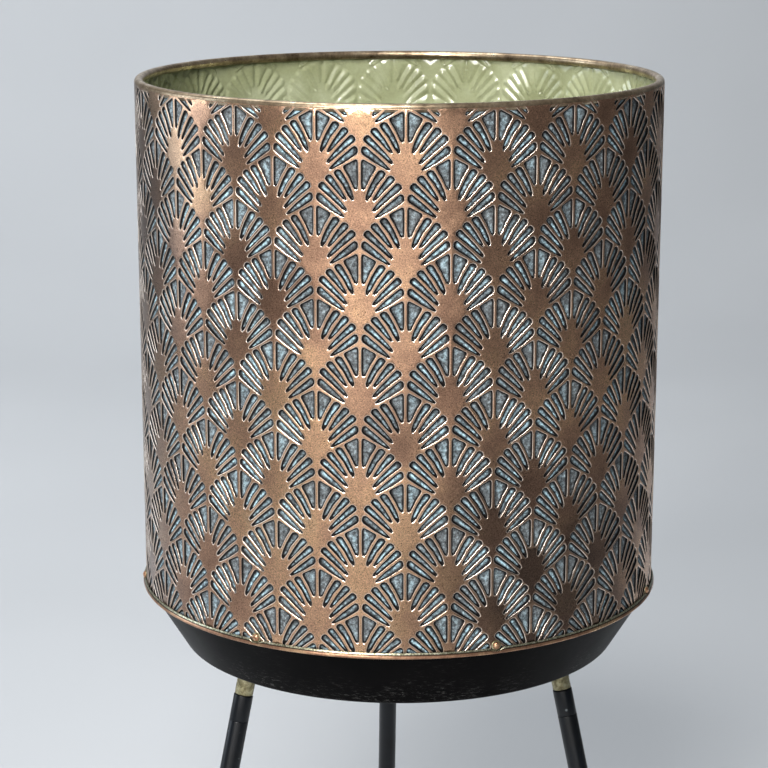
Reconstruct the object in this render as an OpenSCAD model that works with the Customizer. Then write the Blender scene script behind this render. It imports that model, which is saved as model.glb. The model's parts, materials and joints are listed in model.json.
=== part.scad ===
// Round planter pot of embossed sheet on three screw-in legs.
// Origin: on the floor, on the pot's own axis. +Z up, front of the pot towards -Y.

/* [Pot] */
// Outside diameter of the pot
pot_d = 320; // [300:2:340]
// Height from the underside of the collar to the top of the rim
pot_h = 316; // [280:2:340]
// Thickness of the embossed sheet
sheet_t = 0.8; // [0.6:0.1:1.0]
// Depth of the embossing, which stands inwards from the sheet's inside
emboss_depth = 1.1; // [0.8:0.1:1.2]
// Outside diameter of the rolled rim
rim_d = 5.4; // [5:0.2:6]
// Clearance left around the wire inside the rolled rim
wire_gap = 0.05; // [0.02:0.01:0.1]

/* [Collar] */
// Height of the bead around the foot of the pot
bead_h = 3.8; // [3.4:0.1:4.4]
// How far the bead stands out past the pot
bead_out = 1.9; // [1.8:0.1:2.4]
// Height of the upright band inside the pot
upstand_h = 14; // [12:1:18]
// Thickness of the upright band
upstand_t = 0.9; // [0.7:0.1:1.0]

/* [Pan] */
// Depth of the pan below the collar
pan_depth = 37; // [30:1:45]
// Diameter of the pan's flat underside
pan_floor_d = 272; // [264:2:280]
// Thickness of the pan's sheet
pan_t = 1.2; // [1.0:0.1:1.5]
// Outside radius of the bend between the pan's floor and its wall
pan_bend_r = 4; // [3:0.5:6]

/* [Rivets] */
// Number of rivets around the collar
rivet_count = 7; // [5:1:9]
// Direction of the first rivet, from the front towards +X, in degrees
rivet_az = 20.5; // [15:0.5:25]
// Height of the rivets above the underside of the collar
rivet_z = 4.6; // [4.6:0.1:5]
// Diameter of the rivet's shank
rivet_d = 2.6; // [2.4:0.1:2.8]
// Diameter of the rivet's flange
flange_d = 6; // [5.6:0.1:6]
// Diameter of the rivet's head
head_d = 4.4; // [4:0.1:4.8]
// Height of the rivet's head above its flange
head_h = 1.8; // [1.4:0.1:2.2]

/* [Legs] */
// Height of the pan's underside above the floor
stand_h = 297; // [240:1:340]
// Distance from the pot's axis to the legs, at the pan's underside
leg_r = 109; // [100:1:115]
// Outward splay of the legs from upright, in degrees
splay = 13; // [8:0.5:15]
// Direction of the rear leg, from the front towards +X, in degrees
rear_az = 183.2; // [175:0.2:190]
// Diameter of the leg's tube
leg_d = 12; // [11.6:0.1:12.4]
// Wall of the leg's tube
leg_wall = 1; // [0.8:0.1:1.2]

/* [Leg joints] */
// Diameter of the threaded bush
bush_d = 11.4; // [11:0.1:11.6]
// Length of the bush along the leg
bush_len = 22.7; // [20:0.1:25]
// Diameter of the stud
stud_d = 8; // [7:0.5:8]
// Length of stud inside the bush when screwed home
stud_grip = 16; // [12:1:16]
// Length of stud inside the socket
stud_seat = 13; // [10:1:14]
// Length of the leg's socket below the bush
socket_len = 16.6; // [15.5:0.1:18]
// Length of the socket's spigot inside the tube
spigot_len = 20; // [10:1:30]
// Gap between the bush and the socket when screwed home
home_gap = 0.3; // [0.2:0.05:0.5]
// Radial running clearance around the stud
thread_gap = 0.05; // [0.02:0.01:0.08]

/* [Feet] */
// Diameter of the foot cap
foot_d = 14.4; // [14:0.1:16]
// Length of the foot cap up the leg
foot_len = 20; // [16:1:26]
// Thickness of the foot cap under the tube
foot_base = 5; // [4:0.5:6]

/* [Hidden] */
$fn = 96;

// Directions of the three legs, evenly spaced
left_az = rear_az + 120;
right_az = rear_az - 120;

// Pot: radii from outside to inside
pot_r = pot_d / 2;
sheet_r = pot_r - sheet_t;
upstand_r = sheet_r - emboss_depth - 0.1;
flange_r = upstand_r - upstand_t;
rim_r = rim_d / 2;
rim_ring_r = pot_r - rim_r;
wire_r = rim_r - sheet_t - wire_gap;

// Heights above the floor
collar_z = stand_h + pan_depth;
rim_z = collar_z + pot_h;
web_t = 1.2;
shell_z = collar_z + web_t;
rivet_height = collar_z + rivet_z;

// Collar: the lip outside the pot's lower edge
lip_gap = 0.3;
lip_r = pot_r + lip_gap;
bead_r = pot_r + bead_out;
lip_round = (bead_r - lip_r) / 2;
notch_d = flange_d + 0.6;

// Pan: outside of the wall's top, and the fold under the collar
pan_top_r = pot_r - 2;
pan_floor_r = pan_floor_d / 2;
fold_t = 1.0;

// Rivets: shank from the flange to the formed end inside
flange_t = 0.5;
tail_d = 4;
tail_t = 0.9;
rivet_hole_d = rivet_d + 0.1;
stack_inner_r = flange_r - pan_t;

// Legs: distances along the leg's axis from the pan's underside
axis_len = stand_h / cos(splay);
socket_top = bush_len + home_gap;
tube_top = socket_top + socket_len;
tube_end = axis_len - foot_base;
stud_r = stud_d / 2;
bore_r = stud_r + thread_gap;
bore_spare = 1.5;
stud_chamfer = 0.8;
leg_bore_r = leg_d / 2 - leg_wall;
socket_chamfer = 0.6;

// Colours of the finished pieces
copper = "#a9714f";
brass = "#b59a5e";
black = "#1c1d20";
zinc = "#a7a9ac";

// Points of an arc in the r-z plane, from angle a0 to a1 about (cr, cz)
function arc(cr, cz, r, a0, a1, n = 8) =
  [for (i = [0:n]) let (a = a0 + (a1 - a0) * i / n) [cr + r * cos(a), cz + r * sin(a)]];

// A straight tube standing on z
module tube(z, h, outer, inner) {
  translate([0, 0, z]) difference() {
    cylinder(h = h, r = outer);
    translate([0, 0, -1]) cylinder(h = h + 2, r = inner);
  }
}

// A solid ring of round section
module round_ring(z, ring_r, r) {
  translate([0, 0, z]) rotate_extrude() translate([ring_r, 0]) circle(r = r);
}

// Radial places of the rivets, with +X pointing outwards
module at_rivets() {
  for (i = [0:rivet_count - 1])
    rotate([0, 0, rivet_az + i * 360 / rivet_count - 90])
      translate([0, 0, rivet_height]) rotate([0, 90, 0]) children();
}

// The rivets' holes, through everything between two radii
module rivet_holes(d, r0, r1) {
  at_rivets() translate([0, 0, r0]) cylinder(h = r1 - r0, d = d);
}

// A leg's own frame: origin on the pan's underside, +Z down the leg
module leg_frame(az) {
  rotate([0, 0, az]) translate([0, -leg_r, stand_h]) rotate([180 - splay, 0, 0]) children();
}

// Sheet tube with its top edge rolled inwards around the wire
module pot_shell() {
  color(copper) difference() {
    union() {
      tube(shell_z, rim_z - rim_r - shell_z, pot_r, sheet_r);
      round_ring(rim_z - rim_r, rim_ring_r, rim_r);
    }
    round_ring(rim_z - rim_r, rim_ring_r, rim_r - sheet_t);
    rivet_holes(rivet_hole_d, upstand_r, bead_r);
  }
}

// Stiffening wire inside the rolled rim
module rim_wire() {
  color(zinc) round_ring(rim_z - rim_r, rim_ring_r, wire_r);
}

// Channel ring that the pot's lower edge stands in
module collar_ring() {
  color(brass) difference() {
    rotate_extrude() polygon(concat(
      [[flange_r, collar_z]],
      arc(bead_r - lip_round, collar_z + lip_round, lip_round, -90, 0),
      arc(bead_r - lip_round, collar_z + bead_h - lip_round, lip_round, 0, 180),
      [[lip_r, shell_z], [upstand_r, shell_z]],
      [[upstand_r, collar_z + upstand_h], [flange_r, collar_z + upstand_h]]
    ));
    rivet_holes(notch_d, pot_r, bead_r + 1);
    rivet_holes(rivet_hole_d, flange_r - 1, sheet_r);
  }
}

// Spun pan: floor, cone wall, fold under the collar, and flange inside it
module base_pan() {
  lean = atan2(pan_top_r - pan_floor_r, pan_depth - fold_t);
  turn = 90 - lean;
  bend_r = pan_floor_r - pan_bend_r * tan(turn / 2);
  bend_z = stand_h + pan_bend_r;
  fold_z = collar_z - fold_t;
  inner_top_r = pan_top_r - pan_t / cos(lean);
  color(black) difference() {
    rotate_extrude() polygon(concat(
      [[0, stand_h]],
      arc(bend_r, bend_z, pan_bend_r, -90, -lean),
      [[pan_top_r, fold_z], [pan_top_r, collar_z], [flange_r, collar_z]],
      [[flange_r, collar_z + upstand_h], [stack_inner_r, collar_z + upstand_h]],
      [[stack_inner_r, fold_z], [inner_top_r, fold_z]],
      arc(bend_r, bend_z, pan_bend_r - pan_t, -lean, -90),
      [[0, stand_h + pan_t]]
    ));
    rivet_holes(rivet_hole_d, stack_inner_r - 2, upstand_r);
  }
}

// One rivet along its own axis: formed end, shank, flange and domed head
module rivet() {
  union() {
    translate([0, 0, stack_inner_r - tail_t]) cylinder(h = tail_t, d = tail_d);
    translate([0, 0, stack_inner_r - tail_t / 2])
      cylinder(h = pot_r - stack_inner_r + tail_t / 2 + flange_t / 2, d = rivet_d);
    translate([0, 0, pot_r]) cylinder(h = flange_t, d = flange_d);
    translate([0, 0, pot_r + flange_t / 2])
      cylinder(h = head_h / 2 + flange_t / 2, d = head_d);
    translate([0, 0, pot_r + flange_t + head_h / 2])
      cylinder(h = head_h / 2, d1 = head_d, d2 = head_d * 0.62);
  }
}

// All the rivets around the collar
module rivets() {
  color(brass) at_rivets() rivet();
}

// Threaded bush, mitred to the pan's underside
module bush(az) {
  color(brass) difference() {
    leg_frame(az) difference() {
      translate([0, 0, -bush_d]) cylinder(h = bush_len + bush_d, d = bush_d);
      translate([0, 0, bush_len - stud_grip - bore_spare])
        cylinder(h = stud_grip + bore_spare + 1, r = bore_r);
    }
    translate([-pot_r, -pot_r, stand_h]) cube([pot_d, pot_d, pan_depth]);
  }
}

// Stud that joins a leg to its bush, with chamfered ends
module stud(az) {
  length = stud_grip + home_gap + stud_seat;
  color(zinc) leg_frame(az) translate([0, 0, bush_len - stud_grip]) union() {
    cylinder(h = stud_chamfer, r1 = stud_r - stud_chamfer, r2 = stud_r);
    translate([0, 0, stud_chamfer]) cylinder(h = length - 2 * stud_chamfer, r = stud_r);
    translate([0, 0, length - stud_chamfer])
      cylinder(h = stud_chamfer, r1 = stud_r, r2 = stud_r - stud_chamfer);
  }
}

// Leg's top piece: body under the bush, spigot inside the tube, bore for the stud
module leg_socket(az) {
  body_r = leg_d / 2;
  color(black) leg_frame(az) translate([0, 0, socket_top]) difference() {
    union() {
      cylinder(h = socket_chamfer, r1 = body_r - socket_chamfer, r2 = body_r);
      translate([0, 0, socket_chamfer]) cylinder(h = socket_len - socket_chamfer, r = body_r);
      translate([0, 0, socket_len]) cylinder(h = spigot_len, r = leg_bore_r);
    }
    translate([0, 0, -1]) cylinder(h = stud_seat + bore_spare + 1, r = bore_r);
  }
}

// Leg's tube, from the socket down into the foot
module leg_tube(az) {
  color(black) leg_frame(az) tube(tube_top, tube_end - tube_top, leg_d / 2, leg_bore_r);
}

// Cap over the tube's lower end, cut level with the floor
module foot(az) {
  color(black) difference() {
    leg_frame(az) difference() {
      translate([0, 0, tube_end - foot_len + foot_base])
        cylinder(h = foot_len + foot_base, d = foot_d);
      translate([0, 0, tube_end - foot_len]) cylinder(h = foot_len, d = leg_d);
    }
    translate([-pot_d, -pot_d, -4 * foot_base]) cube([2 * pot_d, 2 * pot_d, 4 * foot_base]);
  }
}

pot_shell();
rim_wire();
collar_ring();
base_pan();
rivets();
bush(left_az);  // bush_left
bush(right_az);  // bush_right
bush(rear_az);  // bush_rear
stud(left_az);  // stud_left
stud(right_az);  // stud_right
stud(rear_az);  // stud_rear
leg_socket(left_az);  // leg_socket_left
leg_socket(right_az);  // leg_socket_right
leg_socket(rear_az);  // leg_socket_rear
leg_tube(left_az);  // leg_tube_left
leg_tube(right_az);  // leg_tube_right
leg_tube(rear_az);  // leg_tube_rear
foot(left_az);  // foot_left
foot(right_az);  // foot_right
foot(rear_az);  // foot_rear
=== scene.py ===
"""Round planter pot of embossed copper sheet on three screw-in legs, on a pale studio floor."""

import json
import math

import bmesh
import bpy
import numpy as np
from mathutils import Matrix, Vector
from mathutils.geometry import delaunay_2d_cdt


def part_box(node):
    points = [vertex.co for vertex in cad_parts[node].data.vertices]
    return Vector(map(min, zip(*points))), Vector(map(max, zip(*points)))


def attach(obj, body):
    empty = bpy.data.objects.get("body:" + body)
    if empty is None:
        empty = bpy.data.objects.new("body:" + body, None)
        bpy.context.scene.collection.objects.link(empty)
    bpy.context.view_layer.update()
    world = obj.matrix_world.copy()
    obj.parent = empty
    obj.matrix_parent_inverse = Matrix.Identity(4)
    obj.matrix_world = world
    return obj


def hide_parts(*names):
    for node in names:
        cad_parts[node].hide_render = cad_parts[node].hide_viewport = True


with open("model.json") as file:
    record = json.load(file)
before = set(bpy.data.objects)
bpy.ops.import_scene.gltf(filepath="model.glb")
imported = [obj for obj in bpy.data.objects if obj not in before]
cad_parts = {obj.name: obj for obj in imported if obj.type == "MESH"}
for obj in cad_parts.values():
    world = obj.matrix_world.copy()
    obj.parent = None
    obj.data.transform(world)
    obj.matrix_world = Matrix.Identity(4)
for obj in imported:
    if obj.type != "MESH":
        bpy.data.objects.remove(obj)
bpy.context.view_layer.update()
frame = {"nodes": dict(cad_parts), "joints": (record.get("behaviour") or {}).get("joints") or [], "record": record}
RECORD = frame["record"]

MM = 0.001
TAU = 2 * math.pi

# ---- Places and sizes, from the frame ----------------------------------------------------

SHELL_LOW, SHELL_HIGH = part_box("pot_shell")
WIRE_LOW, WIRE_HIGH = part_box("rim_wire")
COLLAR_LOW, COLLAR_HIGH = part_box("collar_ring")
PAN_LOW, PAN_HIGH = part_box("base_pan")
POT_R = round(SHELL_HIGH.x, 3)
SHELL_Z = SHELL_LOW.z
RIM_Z = SHELL_HIGH.z
RIM_ROLL_R = RIM_Z - (WIRE_LOW.z + WIRE_HIGH.z) / 2
RIM_RING_R = POT_R - RIM_ROLL_R
COLLAR_Z = COLLAR_LOW.z
COLLAR_R = COLLAR_HIGH.x
PAN_Z = PAN_LOW.z
RIVETS_LOW, RIVETS_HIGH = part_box("rivets")
SIDES = ("left", "right", "rear")
JOINTS = {joint["name"]: joint for joint in frame["joints"]}

RIVET_Z = (RIVETS_LOW.z + RIVETS_HIGH.z) / 2
RIVET_AZ = math.radians(20.5)
RIVET_COUNT = 7
RIVET_TAIL_R = POT_R - 4.1 * MM  # where the rivet's formed end sits, inside the stack

# Lengths along a leg's axis, from the pan's underside down
BUSH_R = 5.7 * MM
BUSH_LEN = 22.7 * MM
BUSH_BORE_R = 4.05 * MM
STUD_R = 4.0 * MM
STUD_GRIP = 16.0 * MM
STUD_SEAT = 13.0 * MM
THREAD_PITCH = 1.25 * MM
THREAD_DEPTH = 0.6 * MM
BORE_SPARE = 1.5 * MM
LEG_R = 6.0 * MM
SOCKET_TOP = BUSH_LEN + 0.3 * MM
TUBE_TOP = SOCKET_TOP + 16.6 * MM
TUBE_BORE_R = 5.0 * MM
SPIGOT_LEN = 20.0 * MM
FOOT_R = 7.2 * MM
FOOT_LEN = 20.0 * MM
FOOT_BASE = 5.0 * MM


def on_leg(side, along, radius):
    """A place on the front of a leg."""
    joint = JOINTS[f"leg_{side}_turn"]
    down = Vector(joint["axis"]).normalized()
    front = (Vector((0, -1, 0)) + down * down.y).normalized()
    return tuple(Vector(joint["pos_m"]) + down * along + front * radius)


# Small chips in the lacquer
LEG_CHIPS = (
    on_leg("right", SOCKET_TOP + 12.5 * MM, LEG_R),
    on_leg("rear", SOCKET_TOP + 60 * MM, LEG_R),
)

# ---- The embossed sheet ------------------------------------------------------------------

FAN_COUNT = 20
FAN_W = TAU * POT_R / FAN_COUNT
FAN_H = 52.11 * MM
FAN_TURN = math.radians(1.33)
PALM_DROP = 139.6 * MM
UNIT_X = FAN_W / 50.71  # metres for one fan unit across, and up
UNIT_Y = 1.0 * MM
SHEET_DRIFT = 0.0088  # the repeats run slightly wide at the front and narrow at the back
EMBOSS = 1.1 * MM
UPRIGHT_LOW = 13.5 * UNIT_Y  # the upright rib's ends, above the palm's centre
UPRIGHT_HIGH = 39 * UNIT_Y


def on_pot(degrees, below_rim):
    """A place on the pot's face, by its direction from the front and its depth below the rim."""
    az = math.radians(degrees)
    return (POT_R * math.sin(az), -POT_R * math.cos(az), RIM_Z - below_rim)


# Dark stains: place, size of the full stain, where it ends, strength
STAINS = (
    (on_pot(36, 0.292), 0.035, 0.120, 0.92),
    (on_pot(-56, 0.055), 0.010, 0.060, 0.45),
    (on_pot(1, 0.190), 0.004, 0.026, 0.40),
    (on_pot(18, 0.225), 0.006, 0.034, 0.50),
    (on_pot(150, 0.120), 0.020, 0.110, 0.60),
)

SHEET_BACK_R = POT_R - 1.25 * MM
LINING_R = POT_R - 1.40 * MM
LINING_BACK_R = POT_R - 1.29 * MM
LINING_EMBOSS = 1.0 * MM
ROWS = range(-8, 9)

# Right-hand slots of one fan, in fan units from the palm's centre, clockwise from the tip.
SLOT_1 = (
    (4.3, 8.5), (3.4, 9.0), (3.25, 10.6), (4.3, 14.2), (6.4, 18.8), (9.2, 23.7),
    (10.4, 25.3), (12.1, 25.7), (13.6, 25.0), (14.4, 23.6), (13.4, 21.8), (9.6, 17.2), (6.4, 11.2),
)
SLOT_2 = (
    (8.0, 8.4), (7.2, 9.1), (7.7, 10.5), (11.2, 16.2), (14.9, 21.4),
    (15.9, 22.5), (17.3, 22.7), (18.8, 21.8), (19.4, 20.3), (18.7, 19.1), (14.3, 14.8), (9.6, 9.7),
)
SLOT_3 = (
    (7.8, 2.5), (6.9, 3.2), (7.4, 4.6), (12.3, 10.4), (19.0, 17.4),
    (20.2, 18.5), (21.5, 18.5), (22.9, 17.3), (23.3, 15.8), (22.5, 14.7), (16.5, 9.9), (9.4, 3.6),
)
SLOT_4 = (
    (9.0, -0.8), (8.4, -0.1), (9.2, 0.9), (14.0, 5.7), (21.0, 11.6),
    (22.4, 12.5), (23.7, 12.2), (24.4, 11.0), (24.5, 9.3), (23.7, 7.9), (17.1, 3.4), (10.6, -0.25),
)
# Right-hand panel beside the fan's upright rib, in the same order.
PANEL = (
    (1.9, 14.4), (1.05, 15.2), (0.85, 18.5), (0.85, 29.6), (1.2, 31.0), (2.2, 31.3),
    (8.6, 27.9), (9.1, 27.0), (8.7, 25.8), (5.8, 21.1), (3.1, 15.3),
)
RECESSES = ((SLOT_1, False), (SLOT_2, False), (SLOT_3, False), (SLOT_4, False), (PANEL, True))
PALM_POINTS = (
    (1.6, 12.2), (2.2, 8.6), (5.4, 7.2), (6.3, 5.0), (5.9, 2.4), (7.4, 1.0), (7.6, -1.2),
    (5.2, -4.6), (2.8, -7.2), (1.5, -10.6),
)


def clipped(outline, low, high):
    """The part of an outline between two heights."""
    for limit, keep_above in ((low, True), (high, False)):
        result = []
        for i in range(len(outline)):
            a, b = outline[i - 1], outline[i]
            a_in = (a[1] >= limit) == keep_above
            b_in = (b[1] >= limit) == keep_above
            if a_in != b_in:
                t = (limit - a[1]) / (b[1] - a[1])
                result.append(a + t * (b - a))
            if b_in:
                result.append(b)
        outline = np.array(result)
        if len(outline) < 3:
            return None
    return outline


def inset(outline, distance):
    """The outline moved inwards by a distance, with mitred corners that stay short."""
    sharpest = 0.6
    ahead = np.roll(outline, -1, axis=0) - outline
    ahead /= np.linalg.norm(ahead, axis=1)[:, None]
    normal = np.stack((-ahead[:, 1], ahead[:, 0]), axis=1)
    before = np.roll(normal, 1, axis=0)
    bisector = before + normal
    bisector /= np.linalg.norm(bisector, axis=1)[:, None]
    stretch = 1 / np.maximum((bisector * normal).sum(1), sharpest)
    return outline + bisector * (distance * stretch)[:, None]


def area(outline):
    """Signed area, positive for an anticlockwise outline."""
    x, y = outline[:, 0], outline[:, 1]
    return 0.5 * float((x * np.roll(y, -1) - np.roll(x, -1) * y).sum())


def tidy_outline(outline, shortest):
    """Anticlockwise outline without points closer than the shortest edge."""
    if area(outline) < 0:
        outline = outline[::-1]
    kept = [outline[0]]
    for point in outline[1:]:
        if np.linalg.norm(point - kept[-1]) > shortest:
            kept.append(point)
    if np.linalg.norm(kept[0] - kept[-1]) <= shortest:
        kept.pop()
    return np.array(kept)


def palm_height(row, column):
    """Height of a palm's centre. Every other column is half a fan higher."""
    return RIM_Z - PALM_DROP + (row + 0.5 * column) * FAN_H


def half_fans(low, high):
    """Recess outlines between a fan's centre line and the next column's."""
    found = []
    margin, shortest, smallest = 0.6 * MM, 0.25 * MM, 3 * MM * MM
    for column in (0, 1):
        for row in ROWS:
            for points, is_panel in RECESSES:
                points = np.array(points) * (UNIT_X, UNIT_Y)
                x = FAN_W / 2 - points[:, 0] if column else points[:, 0]
                outline = np.stack((x, palm_height(row, column) + points[:, 1]), axis=1)
                outline = clipped(outline, low + margin, high - margin)
                if outline is None:
                    continue
                outline = tidy_outline(outline, shortest)
                if len(outline) > 2 and area(outline) > smallest:
                    found.append((outline, is_panel))
    return found


def spine(outline):
    """A few points inside a recess, between its middle and its far corners."""
    centre = outline.mean(0)
    spread = ((outline[:, None] - outline[None]) ** 2).sum(2)
    a, b = np.unravel_index(np.argmax(spread), spread.shape)
    points = [centre]
    for corner in (outline[a], outline[b]):
        points += [centre + share * (corner - centre) for share in (0.22, 0.44, 0.66)]
    return points


def on_upright(x, z):
    """1 where a point on a column's centre line lies on the fan's upright rib, 0 on its palm."""
    column = 0 if x < FAN_W / 4 else 1
    above = (z - palm_height(0, column)) % FAN_H
    return 1.0 if UPRIGHT_LOW < above < UPRIGHT_HIGH else 0.0


def strip_plan(low, high, insets, edge_step):
    """Triangulated plan of the sheet from one column's centre line to the next.

    Returns points (x, z), a level for each, whether it lies in a panel, whether it lies on a rib or a recess edge
    (lightened in the copper as wear and painted highlight), and triangles."""
    points, levels, panels, ribs, edges = [], [], [], [], []

    def add_loop(loop, level, is_panel, rib_wear_and_highlight):
        first = len(points)
        count = len(loop)
        points.extend(map(tuple, loop))
        levels.extend([level] * count)
        panels.extend([is_panel] * count)
        ribs.extend(rib_wear_and_highlight)
        edges.extend((first + i, first + (i + 1) % count) for i in range(count))

    columns = int(round(FAN_W / 2 / edge_step))
    rows = int(round((high - low) / (2 * edge_step)))
    xs = np.linspace(0, FAN_W / 2, columns + 1)
    zs = np.linspace(low, high, rows + 1)
    border = [(x, low) for x in xs[:-1]] + [(xs[-1], z) for z in zs[:-1]]
    border += [(x, high) for x in xs[:0:-1]] + [(0.0, z) for z in zs[:0:-1]]
    add_loop(border, 0, False, [on_upright(x, z) for x, z in border])
    for outline, is_panel in half_fans(low, high):
        for level, distance in enumerate(insets):
            add_loop(inset(outline, distance), level, is_panel, [1.0] * len(outline))
        for point in spine(outline):
            points.append(tuple(point))
            levels.append(len(insets))
            panels.append(is_panel)
            ribs.append(1.0)
    for column in (0, 1):
        for row in ROWS:
            for x, y in PALM_POINTS:
                z = palm_height(row, column) + y * UNIT_Y
                if low + 2 * MM < z < high - 2 * MM:
                    at = x * UNIT_X
                    points.append((FAN_W / 2 - at if column else at, z))
                    levels.append(0)
                    panels.append(False)
                    ribs.append(0.0)
    made = delaunay_2d_cdt([Vector(p) for p in points], edges, [], 0, 1e-7)
    plan = np.array([tuple(v) for v in made[0]])
    source = [ids[0] if ids else 0 for ids in made[3]]
    return (
        plan,
        np.array([levels[i] for i in source]),
        np.array([panels[i] for i in source]),
        np.array([ribs[i] for i in source]),
        np.array([face for face in made[2] if len(face) == 3]),
    )


def welded(points, step=1e-6):
    """Index of each point among the distinct ones, and one source for each of those."""
    keys = np.round(points / step).astype(np.int64)
    _, first, inverse = np.unique(keys, axis=0, return_index=True, return_inverse=True)
    return first, inverse.ravel()


def embossed_skin(name, low, high, radius, back_radius, insets, depths, marks, edge_step):
    """A closed sheet around the pot: fans pressed into its face, with a plain back."""
    outward = radius > back_radius
    plan, levels, panels, ribs, faces = strip_plan(low, high, insets, edge_step)
    r = radius - np.array(depths)[levels]
    all_angles, all_r, all_z, all_marks, all_panels, all_ribs, all_faces = ([] for _ in range(7))
    count = len(plan)
    for fan in range(FAN_COUNT):
        for mirror in (1, -1):
            start = len(all_angles) * count
            turn = FAN_TURN + fan * TAU / FAN_COUNT + mirror * plan[:, 0] / POT_R
            all_angles.append(turn + SHEET_DRIFT * np.sin(turn))
            all_r.append(r)
            all_z.append(plan[:, 1])
            all_marks.append(np.array(marks)[levels])
            all_panels.append(panels)
            all_ribs.append(ribs)
            order = faces if (mirror == 1) == outward else faces[:, ::-1]
            all_faces.append(order + start)
    angle, radii, z = map(np.concatenate, (all_angles, all_r, all_z))
    values = {"relief": all_marks, "panel": all_panels, "rib": all_ribs}
    tri = np.concatenate(all_faces)
    points = np.stack((radii * np.sin(angle), -radii * np.cos(angle), z), axis=1)
    first, inverse = welded(points)
    values = {key: np.concatenate(parts)[first] for key, parts in values.items()}
    return sheet_object(name, points[first], inverse[tri], values, low, high, back_radius, outward)


def ring_order(points, level):
    """Indices of the points at one height, in order around the pot."""
    on = np.flatnonzero(np.abs(points[:, 2] - level) < 1e-6)
    turn = np.arctan2(points[on, 0], -points[on, 1])
    return on[np.argsort(turn)]


def sheet_object(name, points, tri, values, low, high, back_radius, outward):
    """Closes the face with its back and makes the mesh, its attributes and its unrolled map."""
    bottom, top = ring_order(points, low), ring_order(points, high)
    turn = np.arctan2(points[bottom, 0], -points[bottom, 1])
    count = len(bottom)
    base = len(points)
    back = []
    for level in (low, high):
        ring = np.stack((back_radius * np.sin(turn), -back_radius * np.cos(turn)), axis=1)
        back.append(np.column_stack((ring, np.full(count, level))))
    points = np.concatenate((points, *back))
    here = np.arange(count)
    ahead = (here + 1) % count
    low_back, high_back = base + here, base + count + here
    quads = [
        np.stack((low_back[ahead], low_back, high_back, high_back[ahead]), axis=1),
        np.stack((bottom, low_back, low_back[ahead], bottom[ahead]), axis=1),
        np.stack((top[ahead], high_back[ahead], high_back, top), axis=1),
    ]
    quads = np.concatenate(quads)
    if not outward:
        quads = quads[:, ::-1]
    mesh = bpy.data.meshes.new(name)
    mesh.from_pydata(points.tolist(), [], tri.tolist() + quads.tolist())
    for key, given in values.items():
        layer = mesh.attributes.new(key, "FLOAT", "POINT")
        full = np.concatenate((given, np.zeros(2 * count))).astype(np.float32)
        layer.data.foreach_set("value", full)
    unroll(mesh, len(tri), low, high)
    mesh.shade_smooth()
    return add_object(name, mesh)


def unroll(mesh, face_count, low, high):
    """UV map of the face, unrolled in two halves; the hidden back takes a thin strip."""
    loops = len(mesh.loops)
    vertex = np.zeros(loops, np.int32)
    mesh.loops.foreach_get("vertex_index", vertex)
    co = np.zeros(len(mesh.vertices) * 3)
    mesh.vertices.foreach_get("co", co)
    co = co.reshape(-1, 3)[vertex]
    share = (np.arctan2(co[:, 0], -co[:, 1]) / TAU + 0.5) % 1.0
    start = np.zeros(len(mesh.polygons), np.int32)
    mesh.polygons.foreach_get("loop_start", start)
    size = np.zeros(len(mesh.polygons), np.int32)
    mesh.polygons.foreach_get("loop_total", size)
    owner = np.repeat(np.arange(len(start)), size)
    lead = share[start][owner]
    share = lead + (share - lead + 0.5) % 1.0 - 0.5
    height = (co[:, 2] - low) / (high - low)
    middle = np.add.reduceat(share, start) / size
    half = (middle[owner] >= 0.5).astype(float)
    margin = 0.01
    u = margin + (1 - 2 * margin) * np.clip(2 * share - half, -0.02, 1.02)  # halves overlap a little
    v = margin + 0.48 * half + 0.45 * height
    hidden = owner >= face_count
    v[hidden] = 0.975 + 0.01 * height[hidden]
    layer = mesh.uv_layers.new(name="OFBake")
    layer.data.foreach_set("uv", np.stack((u, v), axis=1).ravel().astype(np.float32))


# ---- Mesh helpers ------------------------------------------------------------------------


def add_object(name, mesh):
    """Puts a mesh in the scene."""
    obj = bpy.data.objects.new(name, mesh)
    bpy.context.scene.collection.objects.link(obj)
    return obj


def lathe_data(profile, segments=96, closed=False):
    """Vertices and faces of a surface of revolution about Z, from (radius, height) points."""
    verts, rings = [], []
    for radius, height in profile:
        count = 1 if radius < 1e-7 else segments
        rings.append([len(verts) + i for i in range(count)])
        for i in range(count):
            a = TAU * i / segments
            verts.append((radius * math.cos(a), radius * math.sin(a), height))
    faces = []
    pairs = list(zip(rings, rings[1:]))
    if closed:
        pairs.append((rings[-1], rings[0]))
    for a, b in pairs:
        for i in range(segments):
            j = (i + 1) % segments
            face = (a[i % len(a)], a[j % len(a)], b[j % len(b)], b[i % len(b)])
            distinct = tuple(dict.fromkeys(face))
            if len(distinct) > 2:
                faces.append(distinct)
    return verts, faces


def solid(name, verts, faces):
    """A smooth closed mesh with its faces turned outwards."""
    mesh = bpy.data.meshes.new(name)
    mesh.from_pydata(verts, [], faces)
    work = bmesh.new()
    work.from_mesh(mesh)
    bmesh.ops.recalc_face_normals(work, faces=work.faces)
    work.to_mesh(mesh)
    work.free()
    mesh.shade_smooth()
    return add_object(name, mesh)


def lathe(name, profile, segments=96, closed=False):
    """A round piece about Z."""
    return solid(name, *lathe_data(profile, segments, closed))


def arc_points(cx, cz, radius, start, stop, steps=6):
    """Points of an arc in the profile's plane, angles in degrees."""
    angles = np.radians(np.linspace(start, stop, steps + 1))
    return [(cx + radius * math.cos(a), cz + radius * math.sin(a)) for a in angles]


def leg_matrix(side):
    """Leg's own frame: origin on the pan's underside, +Z down the leg."""
    joint = JOINTS[f"leg_{side}_turn"]
    down = Vector(joint["axis"]).normalized()
    turn = Vector((0, 0, 1)).rotation_difference(down).to_matrix().to_4x4()
    return Matrix.Translation(Vector(joint["pos_m"])) @ turn


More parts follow.
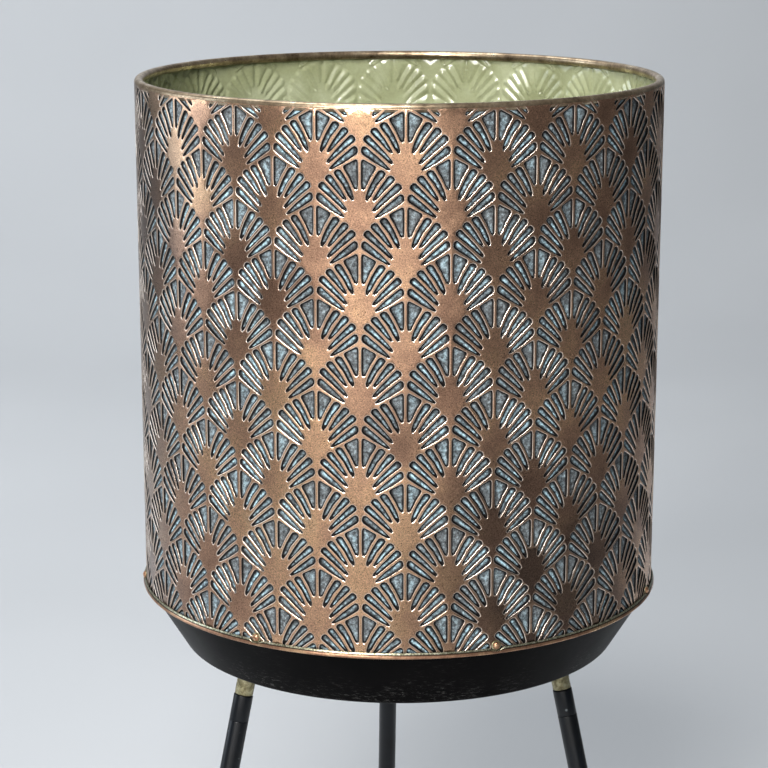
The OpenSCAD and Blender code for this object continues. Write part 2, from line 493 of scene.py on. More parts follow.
def leg_lathe(name, side, profile, segments=64, closed=False):
    """A round piece on a leg's axis. A point's third value is its height above the floor instead."""
    verts, faces = lathe_data([point[:2] for point in profile], segments, closed)
    matrix = leg_matrix(side)
    up = matrix[2]
    here = 0
    for radius, _, *level in profile:
        count = 1 if radius < 1e-7 else segments
        for i in range(here, here + count) if level else ():
            x, y, _ = verts[i]
            verts[i] = (x, y, (level[0] - up[3] - up[0] * x - up[1] * y) / up[2])
        here += count
    obj = solid(name, verts, faces)
    obj.data.transform(matrix)
    return sharpen(obj)


def sharpen(obj, degrees=38):
    """Keeps corners above an angle crisp."""
    mesh = obj.data
    mesh.set_sharp_from_angle(angle=math.radians(degrees))
    return obj


def weighted_normals(obj):
    """Shades the narrow facets by the large faces beside them."""
    modifier = obj.modifiers.new("weighted", "WEIGHTED_NORMAL")
    modifier.weight = 60
    modifier.keep_sharp = True
    return obj


# ---- Materials ---------------------------------------------------------------------------


class Nodes:
    """Short calls for building one material's nodes."""

    def __init__(self, name):
        self.material = bpy.data.materials.new(name)
        self.material.use_nodes = True
        self.tree = self.material.node_tree
        self.tree.nodes.clear()
        self.output = self.tree.nodes.new("ShaderNodeOutputMaterial")
        self.shader = self.tree.nodes.new("ShaderNodeBsdfPrincipled")
        self.link(self.shader.outputs["BSDF"], self.output.inputs["Surface"])

    def link(self, source, target):
        self.tree.links.new(source, target)

    def put(self, socket, value):
        if isinstance(value, bpy.types.NodeSocket):
            self.link(value, socket)
        else:
            socket.default_value = value

    def node(self, kind, **values):
        node = self.tree.nodes.new(kind)
        for key, value in values.items():
            setattr(node, key, value)
        return node

    def where(self, stretch=(1, 1, 1)):
        """Place on the object, in metres."""
        coordinates = self.node("ShaderNodeTexCoord")
        mapping = self.node("ShaderNodeMapping")
        mapping.inputs["Scale"].default_value = stretch
        self.link(coordinates.outputs["Object"], mapping.inputs["Vector"])
        return mapping.outputs["Vector"]

    def noise(self, scale, detail=4, rough=0.55, stretch=(1, 1, 1), seed=0.0, warp=0.0):
        texture = self.node("ShaderNodeTexNoise", noise_dimensions="4D")
        texture.inputs["Scale"].default_value = scale
        texture.inputs["Detail"].default_value = detail
        texture.inputs["Roughness"].default_value = rough
        texture.inputs["Distortion"].default_value = warp
        texture.inputs["W"].default_value = seed
        self.link(self.where(stretch), texture.inputs["Vector"])
        return texture.outputs["Fac"]

    def cells(self, scale, feature="F1", stretch=(1, 1, 1)):
        texture = self.node("ShaderNodeTexVoronoi", feature=feature)
        texture.inputs["Scale"].default_value = scale
        self.link(self.where(stretch), texture.inputs["Vector"])
        return texture.outputs["Distance"]

    def attribute(self, name):
        return self.node("ShaderNodeAttribute", attribute_name=name).outputs["Fac"]

    def ramp(self, value, *stops):
        """Maps a value through (position, level or colour) stops."""
        node = self.node("ShaderNodeValToRGB")
        elements = node.color_ramp.elements
        while len(elements) < len(stops):
            elements.new(0.5)
        for element, (position, level) in zip(elements, stops):
            element.position = position
            element.color = (*level, 1) if isinstance(level, tuple) else (level,) * 3 + (1,)
        self.link(value, node.inputs["Fac"])
        return node.outputs["Color"]

    def math(self, operation, a, b=0.0, clamp=False):
        node = self.node("ShaderNodeMath", operation=operation, use_clamp=clamp)
        self.put(node.inputs[0], a)
        self.put(node.inputs[1], b)
        return node.outputs[0]

    def mix(self, factor, a, b, blend="MIX"):
        node = self.node("ShaderNodeMix", data_type="RGBA", blend_type=blend)
        self.put(node.inputs[0], factor)
        for socket, value in ((node.inputs[6], a), (node.inputs[7], b)):
            self.put(socket, (*value, 1) if isinstance(value, tuple) else value)
        return node.outputs[2]

    def near(self, place, full, none):
        """1 within a distance of a place, falling to 0 at a larger one, with a ragged edge."""
        node = self.node("ShaderNodeVectorMath", operation="DISTANCE")
        self.link(self.where(), node.inputs[0])
        node.inputs[1].default_value = place
        wander = self.math("MULTIPLY", self.noise(30, detail=3, seed=9.1), none * 0.5)
        away = self.math("SUBTRACT", self.math("ADD", node.outputs["Value"], wander), none * 0.25)
        share = self.node("ShaderNodeMapRange", clamp=True)
        for name, value in (("From Min", full), ("From Max", none), ("To Min", 1.0), ("To Max", 0.0)):
            share.inputs[name].default_value = value
        self.link(away, share.inputs["Value"])
        return share.outputs["Result"]

    def across(self):
        """Share of the way across the pot, from its left side (0) to its right (1)."""
        split = self.node("ShaderNodeSeparateXYZ")
        self.link(self.where(), split.inputs[0])
        return self.math("ADD", self.math("MULTIPLY", split.outputs["X"], 0.5 / POT_R), 0.5)

    def rise(self):
        """Height above the floor, in metres."""
        split = self.node("ShaderNodeSeparateXYZ")
        self.link(self.where(), split.inputs[0])
        return split.outputs["Z"]

    def bump(self, height, distance, strength=1.0):
        node = self.node("ShaderNodeBump")
        node.inputs["Strength"].default_value = strength
        node.inputs["Distance"].default_value = distance
        self.link(height, node.inputs["Height"])
        self.link(node.outputs["Normal"], self.shader.inputs["Normal"])

    def finish(self, colour, roughness, metallic=0.0, **constants):
        self.put(self.shader.inputs["Base Color"], colour)
        self.put(self.shader.inputs["Roughness"], roughness)
        self.put(self.shader.inputs["Metallic"], metallic)
        for name, value in constants.items():
            self.shader.inputs[name.replace("_", " ")].default_value = value
        return self.material


def srgb(r, g, b):
    """Linear colour from 0-255 display values."""
    return tuple(
        c / 12.92 if c <= 0.04045 else ((c + 0.055) / 1.055) ** 2.4 for c in (r / 255, g / 255, b / 255)
    )


def embossed_copper():
    """Copper on the raised sheet with painted highlights along its ribs and recess edges (partly wear), near-black
    recess walls (partly dirt, partly painted shade), a painted grey reflection down the left side and a blue-grey
    patina on the floors, with a pale streak that is partly painted highlight.
    """
    n = Nodes("embossed_copper")
    relief = n.attribute("relief")
    broad = n.noise(16, detail=2, seed=1.3)
    cloud = n.noise(60, detail=5, rough=0.6, seed=4.1)
    speck = n.noise(1300, detail=2, rough=0.8, seed=2.2)
    tone = n.math("ADD", n.math("MULTIPLY", broad, 0.6), n.math("MULTIPLY", cloud, 0.4))
    copper = n.ramp(
        tone,
        (0.32, (0.28, 0.165, 0.112)),
        (0.43, (0.46, 0.272, 0.182)),
        (0.50, (0.60, 0.362, 0.236)),
        (0.57, (0.75, 0.465, 0.282)),
        (0.68, (0.83, 0.550, 0.338)),
    )
    for place, full, none, share in STAINS:
        stain = n.math("MULTIPLY", n.near(place, full, none), share)
        copper = n.mix(stain, copper, (0.075, 0.052, 0.042))
    left_grey_reflection = n.ramp(n.across(), (0.0, 0.75), (0.05, 0.55), (0.13, 0.0))  # painted grey reflection of the cool light from the left
    copper = n.mix(left_grey_reflection, copper, (0.20, 0.185, 0.175))
    grain = n.ramp(speck, (0.36, 0.50), (0.46, 0.90), (0.55, 1.05), (0.66, 1.45))
    copper = n.mix(1.0, copper, grain, "MULTIPLY")
    pits = n.ramp(n.cells(420), (0.12, 0.30), (0.19, 1.0))
    pits = n.mix(n.ramp(cloud, (0.46, 0.0), (0.56, 1.0)), (1.0, 1.0, 1.0), pits)
    copper = n.mix(1.0, copper, pits, "MULTIPLY")
    # Patches where ribs and recess edges are lightened: rubbed wear and painted highlight
    rub_and_highlight_patches = n.ramp(n.noise(45, detail=3, seed=6.3), (0.34, 0.3), (0.6, 0.9))
    # Ribs lighter copper than the palms: partly polished wear, partly painted highlight on their rounded tops
    rib = n.math("MULTIPLY", n.ramp(n.attribute("rib"), (0.78, 0.0), (1.0, 0.35)), rub_and_highlight_patches)
    copper = n.mix(rib, copper, (0.92, 0.61, 0.41))
    # Painted highlight, partly edge wear: pale copper along the recess edges, where their shoulders catch the
    # light
    lip = n.ramp(relief, (0.01, 0.0), (0.08, 1.0))
    copper = n.mix(n.math("MULTIPLY", lip, rub_and_highlight_patches), copper, (1.0, 0.88, 0.78))
    floor = patina_cover(n, relief)
    # Painted shade, partly dirt: near-black on the recess walls
    edge = n.ramp(relief, (0.19, 0.0), (0.29, 1.0))
    colour = n.mix(floor, n.mix(edge, copper, (0.006, 0.005, 0.005)), patina_colour(n, relief))
    metal = n.ramp(relief, (0.21, 0.92), (0.32, 0.0))
    rough = n.ramp(cloud, (0.35, 0.34), (0.65, 0.26))
    rough = n.mix(lip, rough, (0.30, 0.30, 0.30))
    rough = n.mix(floor, rough, (0.62, 0.62, 0.62))
    n.bump(speck, 0.06 * MM, 0.6)
    return n.finish(colour, rough, metal, Specular_IOR_Level=0.2)


def patina_cover(n, relief):
    """How far the patina reaches from the middle of a recess: further in the panels."""
    slot = n.ramp(relief, (0.68, 0.0), (0.79, 0.45), (0.93, 1.0))
    panel = n.ramp(relief, (0.64, 0.0), (0.71, 0.55), (0.81, 1.0))
    return n.mix(n.attribute("panel"), slot, panel)


def patina_colour(n, relief):
    """Sooty grey with pale blue on the crests: a streak down a slot, patches in a panel. The streak is pale blue
    patina brightened as a painted highlight.
    """
    tone = n.noise(520, detail=5, rough=0.75, seed=8.7)
    blue = n.ramp(
        tone,
        (0.36, (0.025, 0.028, 0.030)),
        (0.47, (0.10, 0.125, 0.14)),
        (0.56, (0.25, 0.35, 0.41)),
        (0.66, (0.60, 0.76, 0.83)),
    )
    # Pale blue patina streak down the middle of a floor, brightened as a painted highlight
    crest = n.ramp(relief, (0.78, 0.0), (0.97, 1.0))
    streak = n.math("MULTIPLY", crest, n.ramp(tone, (0.42, 0.1), (0.56, 0.9)))
    patches = n.ramp(n.noise(130, detail=2, seed=5.9), (0.40, 0.0), (0.54, 1.0))
    blue = n.mix(n.math("MULTIPLY", streak, patches), blue, (0.56, 0.84, 0.96))
    grey = n.ramp(
        tone,
        (0.36, (0.025, 0.027, 0.029)),
        (0.52, (0.14, 0.155, 0.165)),
        (0.66, (0.40, 0.48, 0.52)),
    )
    dull = n.ramp(n.noise(30, detail=2, seed=5.5), (0.44, 0.0), (0.60, 0.8))
    in_panel = n.math("MULTIPLY", n.attribute("panel"), 0.6)
    return n.mix(n.math("ADD", in_panel, dull, True), blue, grey)


def olive_lining():
    """Satin olive paint, a little darker where it is thin."""
    n = Nodes("olive_lining")
    cloud = n.noise(22, detail=4, seed=2.0)
    fine = n.noise(600, detail=3, seed=6.0)
    colour = n.ramp(
        cloud, (0.35, srgb(136, 140, 104)), (0.5, srgb(162, 167, 130)), (0.66, srgb(186, 191, 158))
    )
    colour = n.mix(0.35, colour, n.ramp(fine, (0.35, 0.8), (0.65, 1.1)), "MULTIPLY")
    n.bump(fine, 0.04 * MM, 0.4)
    return n.finish(colour, n.ramp(cloud, (0.35, 0.30), (0.65, 0.20)), 0.0, Specular_IOR_Level=1.0)


def bronze_rim():
    """Rolled edge: bare grey bronze, mottled and finely streaked."""
    n = Nodes("bronze_rim")
    cloud = n.noise(60, detail=6, rough=0.7, seed=3.0)
    streak = n.noise(500, detail=3, seed=7.0)
    colour = n.ramp(
        cloud, (0.34, srgb(96, 80, 62)), (0.5, srgb(168, 148, 122)), (0.66, srgb(214, 196, 168))
    )
    colour = n.mix(0.6, colour, n.ramp(streak, (0.36, 0.6), (0.62, 1.1)), "MULTIPLY")
    n.bump(streak, 0.05 * MM, 0.5)
    return n.finish(colour, n.ramp(cloud, (0.3, 0.42), (0.7, 0.22)), 0.85)


def copper_trim():
    """Collar: brown copper on its edge, then a groove darkened by painted shade and some grime, a pale grey-green
    top partly lightened as painted light where it faces up, and a gap at the pot dark with painted shade.
    """
    n = Nodes("copper_trim")
    cloud = n.noise(70, detail=5, rough=0.65, seed=5.0)
    fine = n.noise(900, detail=3, rough=0.7, seed=1.0)
    colour = n.ramp(
        cloud, (0.34, srgb(132, 98, 80)), (0.5, srgb(182, 140, 112)), (0.66, srgb(226, 190, 150))
    )
    colour = n.mix(0.5, colour, n.ramp(fine, (0.38, 0.5), (0.6, 1.15)), "MULTIPLY")
    pale = n.ramp(
        fine, (0.38, srgb(84, 84, 66)), (0.5, srgb(158, 156, 130)), (0.62, srgb(214, 212, 190))
    )
    # Painted shade with some grime: near-black in the groove, in the gap at the pot and inside the collar
    shade_and_grime = (0.012, 0.012, 0.010)
    top = n.attribute("top")
    colour = n.mix(n.ramp(top, (0.04, 0.0), (0.14, 0.9)), colour, shade_and_grime)
    # Pale grey-green top: partly its own colour, partly painted light where it faces up
    colour = n.mix(n.ramp(top, (0.27, 0.0), (0.37, 1.0)), colour, pale)
    colour = n.mix(n.ramp(top, (0.80, 0.0), (0.92, 1.0)), colour, shade_and_grime)
    n.bump(fine, 0.05 * MM, 0.5)
    return n.finish(colour, n.ramp(cloud, (0.3, 0.42), (0.7, 0.24)), 0.85)


def rivet_metal():
    """Copper heads on dull grey-green flanges."""
    n = Nodes("rivet_metal")
    cloud = n.noise(500, detail=4, seed=3.5)
    head = n.ramp(
        cloud, (0.36, srgb(130, 92, 70)), (0.5, srgb(190, 144, 112)), (0.64, srgb(236, 204, 166))
    )
    flange = n.ramp(
        cloud, (0.36, srgb(96, 92, 68)), (0.5, srgb(158, 152, 118)), (0.64, srgb(206, 200, 172))
    )
    colour = n.mix(n.ramp(n.attribute("head"), (0.3, 0.0), (0.7, 1.0)), flange, head)
    n.bump(cloud, 0.04 * MM, 0.4)
    return n.finish(colour, n.ramp(cloud, (0.35, 0.42), (0.65, 0.26)), 0.8)


def black_paint():
    """Satin black paint with faint scuffs towards the lower edge."""
    n = Nodes("black_paint")
    cloud = n.noise(18, detail=5, seed=1.5)
    peel = n.noise(260, detail=3, seed=2.5)
    colour = n.ramp(cloud, (0.35, srgb(2, 2, 2)), (0.65, srgb(6, 5, 5)))
    scratches = n.noise(220, detail=6, rough=0.85, stretch=(1, 1, 4), seed=9.0)
    streaks = n.ramp(scratches, (0.54, 0.0), (0.66, 1.0))
    patches = n.ramp(n.noise(14, detail=2, seed=4.4), (0.46, 0.0), (0.58, 1.0))
    above = n.math("MULTIPLY", n.math("SUBTRACT", n.rise(), PAN_Z), 1 / (25 * MM))
    low = n.ramp(above, (0.2, 1.0), (0.8, 0.15))
    scuffs = n.math("MULTIPLY", n.math("MULTIPLY", streaks, patches), low)
    colour = n.mix(n.math("MULTIPLY", scuffs, 0.75), colour, srgb(112, 110, 108))
    n.bump(peel, 0.06 * MM, 0.35)
    return n.finish(colour, n.ramp(cloud, (0.35, 0.46), (0.65, 0.36)), 0.0, Specular_IOR_Level=0.03)


def black_leg():
    """Black lacquered tube: blue-black sheen, a few chips."""
    n = Nodes("black_leg")
    cloud = n.noise(40, detail=5, seed=7.5)
    peel = n.noise(420, detail=3, seed=2.9)
    colour = n.ramp(cloud, (0.35, srgb(7, 9, 12)), (0.65, srgb(17, 21, 27)))
    chips = n.ramp(n.cells(130), (0.045, 1.0), (0.06, 0.0))
    chips = n.math("MULTIPLY", chips, n.ramp(n.noise(60, detail=1, seed=8.0), (0.6, 0.0), (0.64, 1.0)))
    for place in LEG_CHIPS:
        chips = n.math("MAXIMUM", chips, n.near(place, 0.2 * MM, 1.0 * MM))
    colour = n.mix(chips, colour, srgb(112, 118, 122))
    n.bump(peel, 0.05 * MM, 0.35)
    return n.finish(colour, n.ramp(cloud, (0.35, 0.42), (0.65, 0.28)), 0.0, Specular_IOR_Level=0.35)


def bush_brass():
    """Threaded bush: pale olive brass, mottled."""
    n = Nodes("bush_brass")
    cloud = n.noise(260, detail=6, rough=0.7, seed=3.3)
    colour = n.ramp(
        cloud, (0.34, srgb(92, 84, 60)), (0.48, srgb(142, 134, 100)), (0.62, srgb(186, 180, 146))
    )
    rings = n.noise(700, detail=2, seed=5.1)
    n.bump(rings, 0.05 * MM, 0.5)
    return n.finish(colour, n.ramp(cloud, (0.35, 0.5), (0.65, 0.34)), 0.55)


def zinc_stud():
    """Zinc-plated steel."""
    n = Nodes("zinc_stud")
    cloud = n.noise(300, detail=4, seed=2.7)
    colour = n.ramp(cloud, (0.35, srgb(140, 142, 146)), (0.65, srgb(196, 196, 192)))
    n.bump(cloud, 0.03 * MM, 0.4)
    return n.finish(colour, n.ramp(cloud, (0.35, 0.42), (0.65, 0.24)), 0.9)


def black_foot():
    """Matt black rubber cap with fine dust."""
    n = Nodes("black_foot")
    fine = n.noise(1200, detail=3, seed=2.1)
    dust = n.noise(120, detail=4, seed=6.6)
    colour = n.ramp(dust, (0.4, srgb(20, 20, 21)), (0.7, srgb(48, 47, 46)))
    n.bump(fine, 0.05 * MM, 0.6)
    return n.finish(colour, n.ramp(fine, (0.35, 0.85), (0.65, 0.7)), 0.0)


def studio_floor():
    """Matt pale floor that fades into the plain background to the sides and in front."""
    n = Nodes("studio_floor")
    cloud = n.noise(1.5, detail=2, seed=1.1)
    colour = n.ramp(cloud, (0.3, srgb(194, 197, 201)), (0.7, srgb(202, 205, 209)))
    split = n.node("ShaderNodeSeparateXYZ")
    n.link(n.where(), split.inputs[0])
    start, end, reach = 1.08, 2.0, 4.0  # metres: the fade's start and end, and the ramp's length
    ahead = n.math("SUBTRACT", 0.4, split.outputs["Y"])
    away = n.math("MAXIMUM", n.math("ABSOLUTE", split.outputs["X"]), ahead)
    fade = n.ramp(n.math("MULTIPLY", away, 1 / reach), (start / reach, 1.0), (end / reach, 0.0))
    n.link(fade, n.shader.inputs["Alpha"])
    return n.finish(colour, 0.9, 0.0)


def paint(obj, material):
    """Gives every slot of the piece one material."""
    if not obj.material_slots:
        obj.data.materials.append(material)
    for slot in obj.material_slots:
        slot.link = "OBJECT"
        slot.material = material
    return obj


# ---- Pieces ------------------------------------------------------------------------------


def finish_piece(obj, body, slot, material, *nodes):
    """Paints a piece, fixes it to its body and hides the CAD nodes it stands for."""
    paint(obj, material)
    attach(obj, body)
    if nodes:
        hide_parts(*nodes)
    return obj


def make_shell():
    """The embossed face of the pot, and its olive lining."""
    top = RIM_Z - RIM_ROLL_R
    border_step = 4.2 * MM
    outer = embossed_skin(
        "pot_shell_face", SHELL_Z, top, POT_R, SHEET_BACK_R,
        insets=(-0.36 * MM, 0.0, 0.50 * MM),
        depths=(0.0, 0.19 * EMBOSS, 0.95 * EMBOSS, EMBOSS),
        marks=(0.0, 0.25, 0.62, 1.0), edge_step=border_step,
    )
    weighted_normals(outer)
    finish_piece(outer, "pot", "embossed_copper", embossed_copper(), "pot_shell")
    lining = embossed_skin(
        "pot_shell_lining", SHELL_Z, top, LINING_R, LINING_BACK_R,
        insets=(-0.30 * MM, 0.85 * MM),
        depths=(0.0, 0.9 * LINING_EMBOSS, LINING_EMBOSS),
        marks=(0.0, 0.75, 1.0), edge_step=border_step,
    )
    finish_piece(lining, "pot", "embossed_copper", olive_lining(), "pot_shell")


def make_rim():
    """The rolled edge around the wire."""
    centre = (RIM_RING_R, RIM_Z - RIM_ROLL_R)
    profile = arc_points(*centre, RIM_ROLL_R, 0, 360, 20)[:-1]
    rim = lathe("pot_shell_rim", profile, 288, closed=True)
    finish_piece(rim, "pot", "embossed_copper", bronze_rim(), "pot_shell")


def make_rivets():
    """Rivets through the collar: formed end inside, flange on the pot, domed head."""
    face = POT_R - RIVET_TAIL_R
    tail = [(0, -0.85), (0.9, -0.8), (1.6, -0.6), (1.95, -0.3), (2.0, 0)]
    flange = [(1.3, 0), (1.3, face / MM), (2.85, face / MM), (3.0, face / MM + 0.15)]
    flange += [(3.0, face / MM + 0.35), (2.8, face / MM + 0.5)]
    dome = [
        (2.2 * math.cos(t), face / MM + 0.6 + 1.65 * math.sin(t)) for t in np.linspace(0, TAU / 4, 8)
    ]
    profile = tail + flange + [(2.25, face / MM + 0.5)] + dome[:-1] + [(0, dome[-1][1])]
    profile = [(r * MM, h * MM) for r, h in profile]
    verts, faces = lathe_data(profile, 32)
    on_head = [1.0 if z > face + 0.55 * MM else 0.0 for _, _, z in verts]
    all_verts, all_faces = [], []
    for i in range(RIVET_COUNT):
        az = RIVET_AZ + i * TAU / RIVET_COUNT
        out = Vector((math.sin(az), -math.cos(az), 0))
        turn = Vector((0, 0, 1)).rotation_difference(out).to_matrix()
        start = out * RIVET_TAIL_R + Vector((0, 0, RIVET_Z))
        all_faces += [tuple(v + len(all_verts) for v in f) for f in faces]
        all_verts += [turn @ Vector(v) + start for v in verts]
    rivets = sharpen(solid("collar_rivets", all_verts, all_faces))
    layer = rivets.data.attributes.new("head", "FLOAT", "POINT")
    layer.data.foreach_set("value", on_head * RIVET_COUNT)
    finish_piece(rivets, "pot", "copper_trim", rivet_metal(), "rivets")


def collar_top(out, height):
    """0 on the collar's edge, 0.2 where its groove is, 0.7 on its top and 1 by the pot and inside."""
    if out < 0.4:
        return 1.0
    if height < 2.3:
        return 0.0
    return 0.2 if height < 3.0 else 0.7


def make_collar():
    """Collar under the pot: sloped bead, dented where the rivets press it, and the upstand inside."""
    lip, bead = POT_R / MM + 0.3, COLLAR_R / MM
    upstand = POT_R / MM - 2.0
    bead_points = [(bead - 1.0, 0.0)] + arc_points(bead - 0.75, 0.75, 0.75, -70, 15, 5)
    bead_points += [(bead - 0.15, 1.6), (bead - 0.55, 2.4)]
    bead_points += arc_points(lip + 0.45, 3.1, 0.45, 35, 175, 6)
    inside = [(lip, 1.3), (upstand, 1.25), (upstand, 13.7), (upstand - 0.25, 14.0)]
    inside += [(upstand - 0.65, 14.0), (upstand - 0.9, 13.7), (upstand - 0.9, 0.0)]
    profile = bead_points + inside
    top = [collar_top(r - lip, h) for r, h in profile]
    segments = 720
    dent_w, dent_share, dent_floor = 3.4 * MM, 0.8, 1.2 * MM
    verts, faces = lathe_data([(r * MM, h * MM) for r, h in profile], segments, True)
    rivets = [RIVET_AZ + i * TAU / RIVET_COUNT for i in range(RIVET_COUNT)]
    moved = []
    for x, y, z in verts:
        r = math.hypot(x, y)
        az = math.atan2(x, -y)
        away = min(abs((az - rivet + math.pi) % TAU - math.pi) for rivet in rivets) * POT_R
        dent = math.exp(-((away / dent_w) ** 4)) if r > POT_R else 0.0
        if z > dent_floor:
            z -= dent_share * dent * (z - dent_floor)
        moved.append((x, y, COLLAR_Z + z))
    collar = sharpen(solid("collar_spun", moved, faces), 50)
    layer = collar.data.attributes.new("top", "FLOAT", "POINT")
    layer.data.foreach_set("value", [value for value in top for _ in range(segments)])
    finish_piece(collar, "pot", "copper_trim", copper_trim(), "collar_ring")


def rounded(r, h, size, start, stop, steps=4):
    """An eased corner: its arc's centre, size and the two directions, in millimetres."""
    return [(x * MM, z * MM) for x, z in arc_points(r, h, size, start, stop, steps)]


def make_bush(side, material):
    """Bush mitred to the pan's underside, its end eased and its bore countersunk."""
    end, r, bore = BUSH_LEN / MM, BUSH_R / MM, BUSH_BORE_R
    profile = [(0, BUSH_LEN - STUD_GRIP - BORE_SPARE), (bore, BUSH_LEN - STUD_GRIP - BORE_SPARE)]
    profile += [(bore, BUSH_LEN - 0.4 * MM), (bore + 0.4 * MM, BUSH_LEN)]
    profile += rounded(r - 0.35, end - 0.35, 0.35, 90, 0)
    profile += [(BUSH_R, 0.4 * BUSH_LEN), (BUSH_R, 0, PAN_Z + 0.2 * MM), (0, 0, PAN_Z + 0.2 * MM)]
    bush = leg_lathe(f"bush_{side}_turned", side, profile)
    finish_piece(bush, "pot", "bush_brass", material, f"bush_{side}")


def make_stud(side, material):
    """Threaded stud with chamfered ends."""
    length = STUD_GRIP + STUD_SEAT + SOCKET_TOP - BUSH_LEN
    start = BUSH_LEN - STUD_GRIP
    around, steps = 32, int(round(length / THREAD_PITCH * 6))
    verts = []
    for k in range(steps + 1):
        h = length * k / steps
        limit = STUD_R - max(0.0, 0.9 * MM - min(h, length - h))
        for i in range(around):
            phase = (h / THREAD_PITCH - i / around) % 1.0
            r = min(limit, STUD_R - THREAD_DEPTH * abs(2 * phase - 1))
            a = TAU * i / around
            verts.append((r * math.cos(a), r * math.sin(a), start + h))
    faces = []
    for k in range(steps):
        for i in range(around):
            here, ahead = k * around + i, k * around + (i + 1) % around
            faces.append((here, ahead, ahead + around, here + around))
    faces += [tuple(range(around)), tuple(steps * around + i for i in range(around))]
    stud = solid(f"stud_{side}_threaded", verts, faces)
    stud.data.transform(leg_matrix(side))
    sharpen(stud, 50)
    finish_piece(stud, f"stud_{side}_body", "zinc_stud", material, f"stud_{side}")


def make_leg(side, lacquer, rubber):
    """Socket, tube and foot cap of one leg, with eased edges where they meet."""
    axis_len = PAN_Z / -leg_matrix(side)[2][2]
    tube_end = axis_len - FOOT_BASE
    top, joint, end = SOCKET_TOP / MM, TUBE_TOP / MM, tube_end / MM
    r, bore = LEG_R / MM, TUBE_BORE_R / MM
    bore_end = SOCKET_TOP + STUD_SEAT + BORE_SPARE
    socket = [(0, bore_end), (BUSH_BORE_R, bore_end)]
    socket += [(BUSH_BORE_R, SOCKET_TOP + 0.4 * MM), (BUSH_BORE_R + 0.4 * MM, SOCKET_TOP)]
    socket += rounded(r - 0.6, top + 0.6, 0.6, -90, 0) + rounded(r - 0.4, joint - 0.45, 0.4, 0, 90)
    socket += [(TUBE_BORE_R - 0.03 * MM, TUBE_TOP - 0.05 * MM)]
    socket += rounded(bore - 0.53, joint + SPIGOT_LEN / MM - 0.5, 0.5, 0, 90)
    socket += [(0, TUBE_TOP + SPIGOT_LEN)]
    tube = rounded(r - 0.4, joint + 0.45, 0.4, -90, 0) + rounded(r - 0.1, end - 0.1, 0.1, 0, 90, 2)
    tube += [(TUBE_BORE_R, tube_end), (TUBE_BORE_R, TUBE_TOP + 0.05 * MM)]
    lip = end - FOOT_LEN / MM
    foot_r = FOOT_R / MM
    sole_r, side_r = FOOT_R - 1.3 * MM, FOOT_R - 0.3 * MM
    cap = [(0, 0, 0.0), (sole_r, 0, 0.0), (FOOT_R - 0.4 * MM, 0, 0.35 * MM), (FOOT_R, 0, 1.3 * MM)]
    cap += [(FOOT_R, 0, 3.2 * MM), (side_r, 0, 3.8 * MM), (side_r, (lip + 2.6) * MM)]
    cap += [(FOOT_R, (lip + 2.2) * MM)] + rounded(foot_r - 0.6, lip + 0.6, 0.6, 0, -90)
    cap += [(LEG_R + 0.03 * MM, lip * MM), (LEG_R + 0.03 * MM, tube_end), (0, tube_end)]
    body = f"leg_{side}"
    pieces = (
        ("socket_turned", socket, False, lacquer, "black_leg", f"leg_socket_{side}"),
        ("tube_drawn", tube, True, lacquer, "black_leg", f"leg_tube_{side}"),
        ("foot_cap", cap, False, rubber, "black_foot", f"foot_{side}"),
    )
    for name, profile, closed, material, slot, node in pieces:
        piece = leg_lathe(f"leg_{side}_{name}", side, profile, 72, closed)
        finish_piece(piece, body, slot, material, node)


def paint_frame(materials):
    """Materials for the CAD nodes that stay in view."""
    slots = {row["node"]: row["material_slot"] for row in RECORD["subparts"]}
    for name, obj in frame["nodes"].items():
        if not obj.hide_render:
            paint(obj, materials[slots[name]])


def make_stage():
    """A pale floor that sweeps up into a plain backdrop."""
    sweep_r, steps = 1.2, 12
    front_y, back_y = -4.0, 3.2
    profile = [(front_y, 0.0), (back_y - sweep_r, 0.0)]
    for i in range(1, steps + 1):
        a = math.radians(90 * i / steps)
        profile.append((back_y - sweep_r + sweep_r * math.sin(a), sweep_r - sweep_r * math.cos(a)))
    profile.append((back_y, 5.0))
    half_width = 6.0
    verts = [(x, y, z) for y, z in profile for x in (-half_width, half_width)]
    faces = [(2 * i, 2 * i + 1, 2 * i + 3, 2 * i + 2) for i in range(len(profile) - 1)]
    mesh = bpy.data.meshes.new("studio_floor")
    mesh.from_pydata(verts, [], faces)
    mesh.shade_smooth()
    floor = add_object("studio_floor", mesh)
    paint(floor, studio_floor())


def area_light(name, place_at, aim, size, power, colour=(1, 1, 1), spread=180):
    """A soft lamp aimed at a place; a spread under 180 degrees keeps its light off the surroundings."""
    data = bpy.data.lights.new(name, "AREA")
    data.spread = math.radians(spread)
    data.shape = "RECTANGLE"
    data.size, data.size_y = size
    data.energy = power
    data.color = colour
    lamp = bpy.data.objects.new(name, data)
    lamp.location = place_at
    lamp.rotation_euler = (Vector(aim) - Vector(place_at)).to_track_quat("-Z", "Y").to_euler()
    bpy.context.scene.collection.objects.link(lamp)


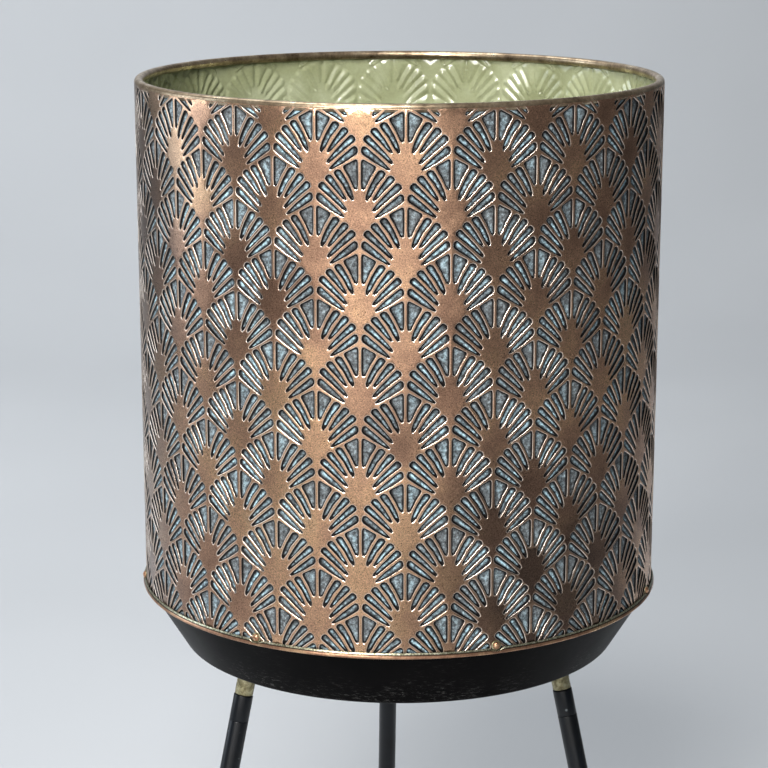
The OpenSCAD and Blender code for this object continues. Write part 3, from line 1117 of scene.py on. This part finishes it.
def make_lights():
    """Soft daylight from the upper left, with little from the right, and a plain pale background."""
    world = bpy.data.worlds.new("studio")
    world.use_nodes = True
    nodes, links = world.node_tree.nodes, world.node_tree.links
    fill = nodes["Background"]
    fill.inputs["Color"].default_value = (0.88, 0.94, 1.0, 1)
    fill.inputs["Strength"].default_value = 0.08
    plain = nodes.new("ShaderNodeBackground")
    plain.inputs["Color"].default_value = (0.46, 0.485, 0.51, 1)
    seen = nodes.new("ShaderNodeLightPath")
    choice = nodes.new("ShaderNodeMixShader")
    links.new(seen.outputs["Is Camera Ray"], choice.inputs[0])
    links.new(fill.outputs[0], choice.inputs[1])
    links.new(plain.outputs[0], choice.inputs[2])
    links.new(choice.outputs[0], nodes["World Output"].inputs["Surface"])
    bpy.context.scene.world = world
    middle = (0, 0, 0.5)
    area_light("key", (-0.80, -2.12, 1.55), middle, (0.55, 0.8), 9.8, (1.0, 0.98, 0.95), 80)
    area_light("band", (-0.28, -1.6, 0.34), (0, 0, 0.45), (2.0, 0.5), 4.3, (1.0, 0.98, 0.95))
    area_light("upper", (-0.3, -1.33, 2.2), middle, (0.6, 0.5), 6.2, (1.0, 0.99, 0.97), 80)
    area_light("left", (-2.1, 0.3, 0.9), middle, (0.8, 1.4), 14.5, (0.82, 0.91, 1.0))
    area_light("top", (-0.4, 0.0, 2.3), middle, (0.8, 0.8), 12, (0.97, 0.99, 1.0))
    area_light("backdrop", (-1.2, 1.3, 2.6), (-0.1, 3.2, 1.2), (1.6, 1.6), 58, (0.97, 0.99, 1.0))


def make_camera():
    """The camera in front of the pot: slightly above the rim, looking down."""
    distance = 1387.8 * MM
    above_rim = 138.9 * MM
    look_down, look_left = math.radians(13.455), math.radians(0.382)
    data = bpy.data.cameras.new("camera")
    data.sensor_width = 36
    data.lens = 106.84
    camera = bpy.data.objects.new("camera", data)
    camera.location = (0, -distance, RIM_Z + above_rim)
    turn = Matrix.Rotation(look_left, 3, "Z")
    tip = Matrix.Rotation(TAU / 4 - look_down, 3, "X")
    camera.rotation_euler = (turn @ tip).to_euler()
    bpy.context.scene.collection.objects.link(camera)
    bpy.context.scene.camera = camera


bpy.context.scene.view_settings.view_transform = "Standard"
make_camera()
make_stage()
make_lights()
make_shell()
make_rim()
make_collar()
make_rivets()
MATERIALS = {  # by the record's material slots
    "zinc_wire": zinc_stud(),
    "black_paint": black_paint(),
    "bush_brass": bush_brass(),
    "zinc_stud": zinc_stud(),
    "black_leg": black_leg(),
    "black_foot": black_foot(),
}
for side in SIDES:
    make_bush(side, MATERIALS["bush_brass"])
    make_stud(side, MATERIALS["zinc_stud"])
    make_leg(side, MATERIALS["black_leg"], MATERIALS["black_foot"])
paint_frame(MATERIALS)

bpy.context.view_layer.update()
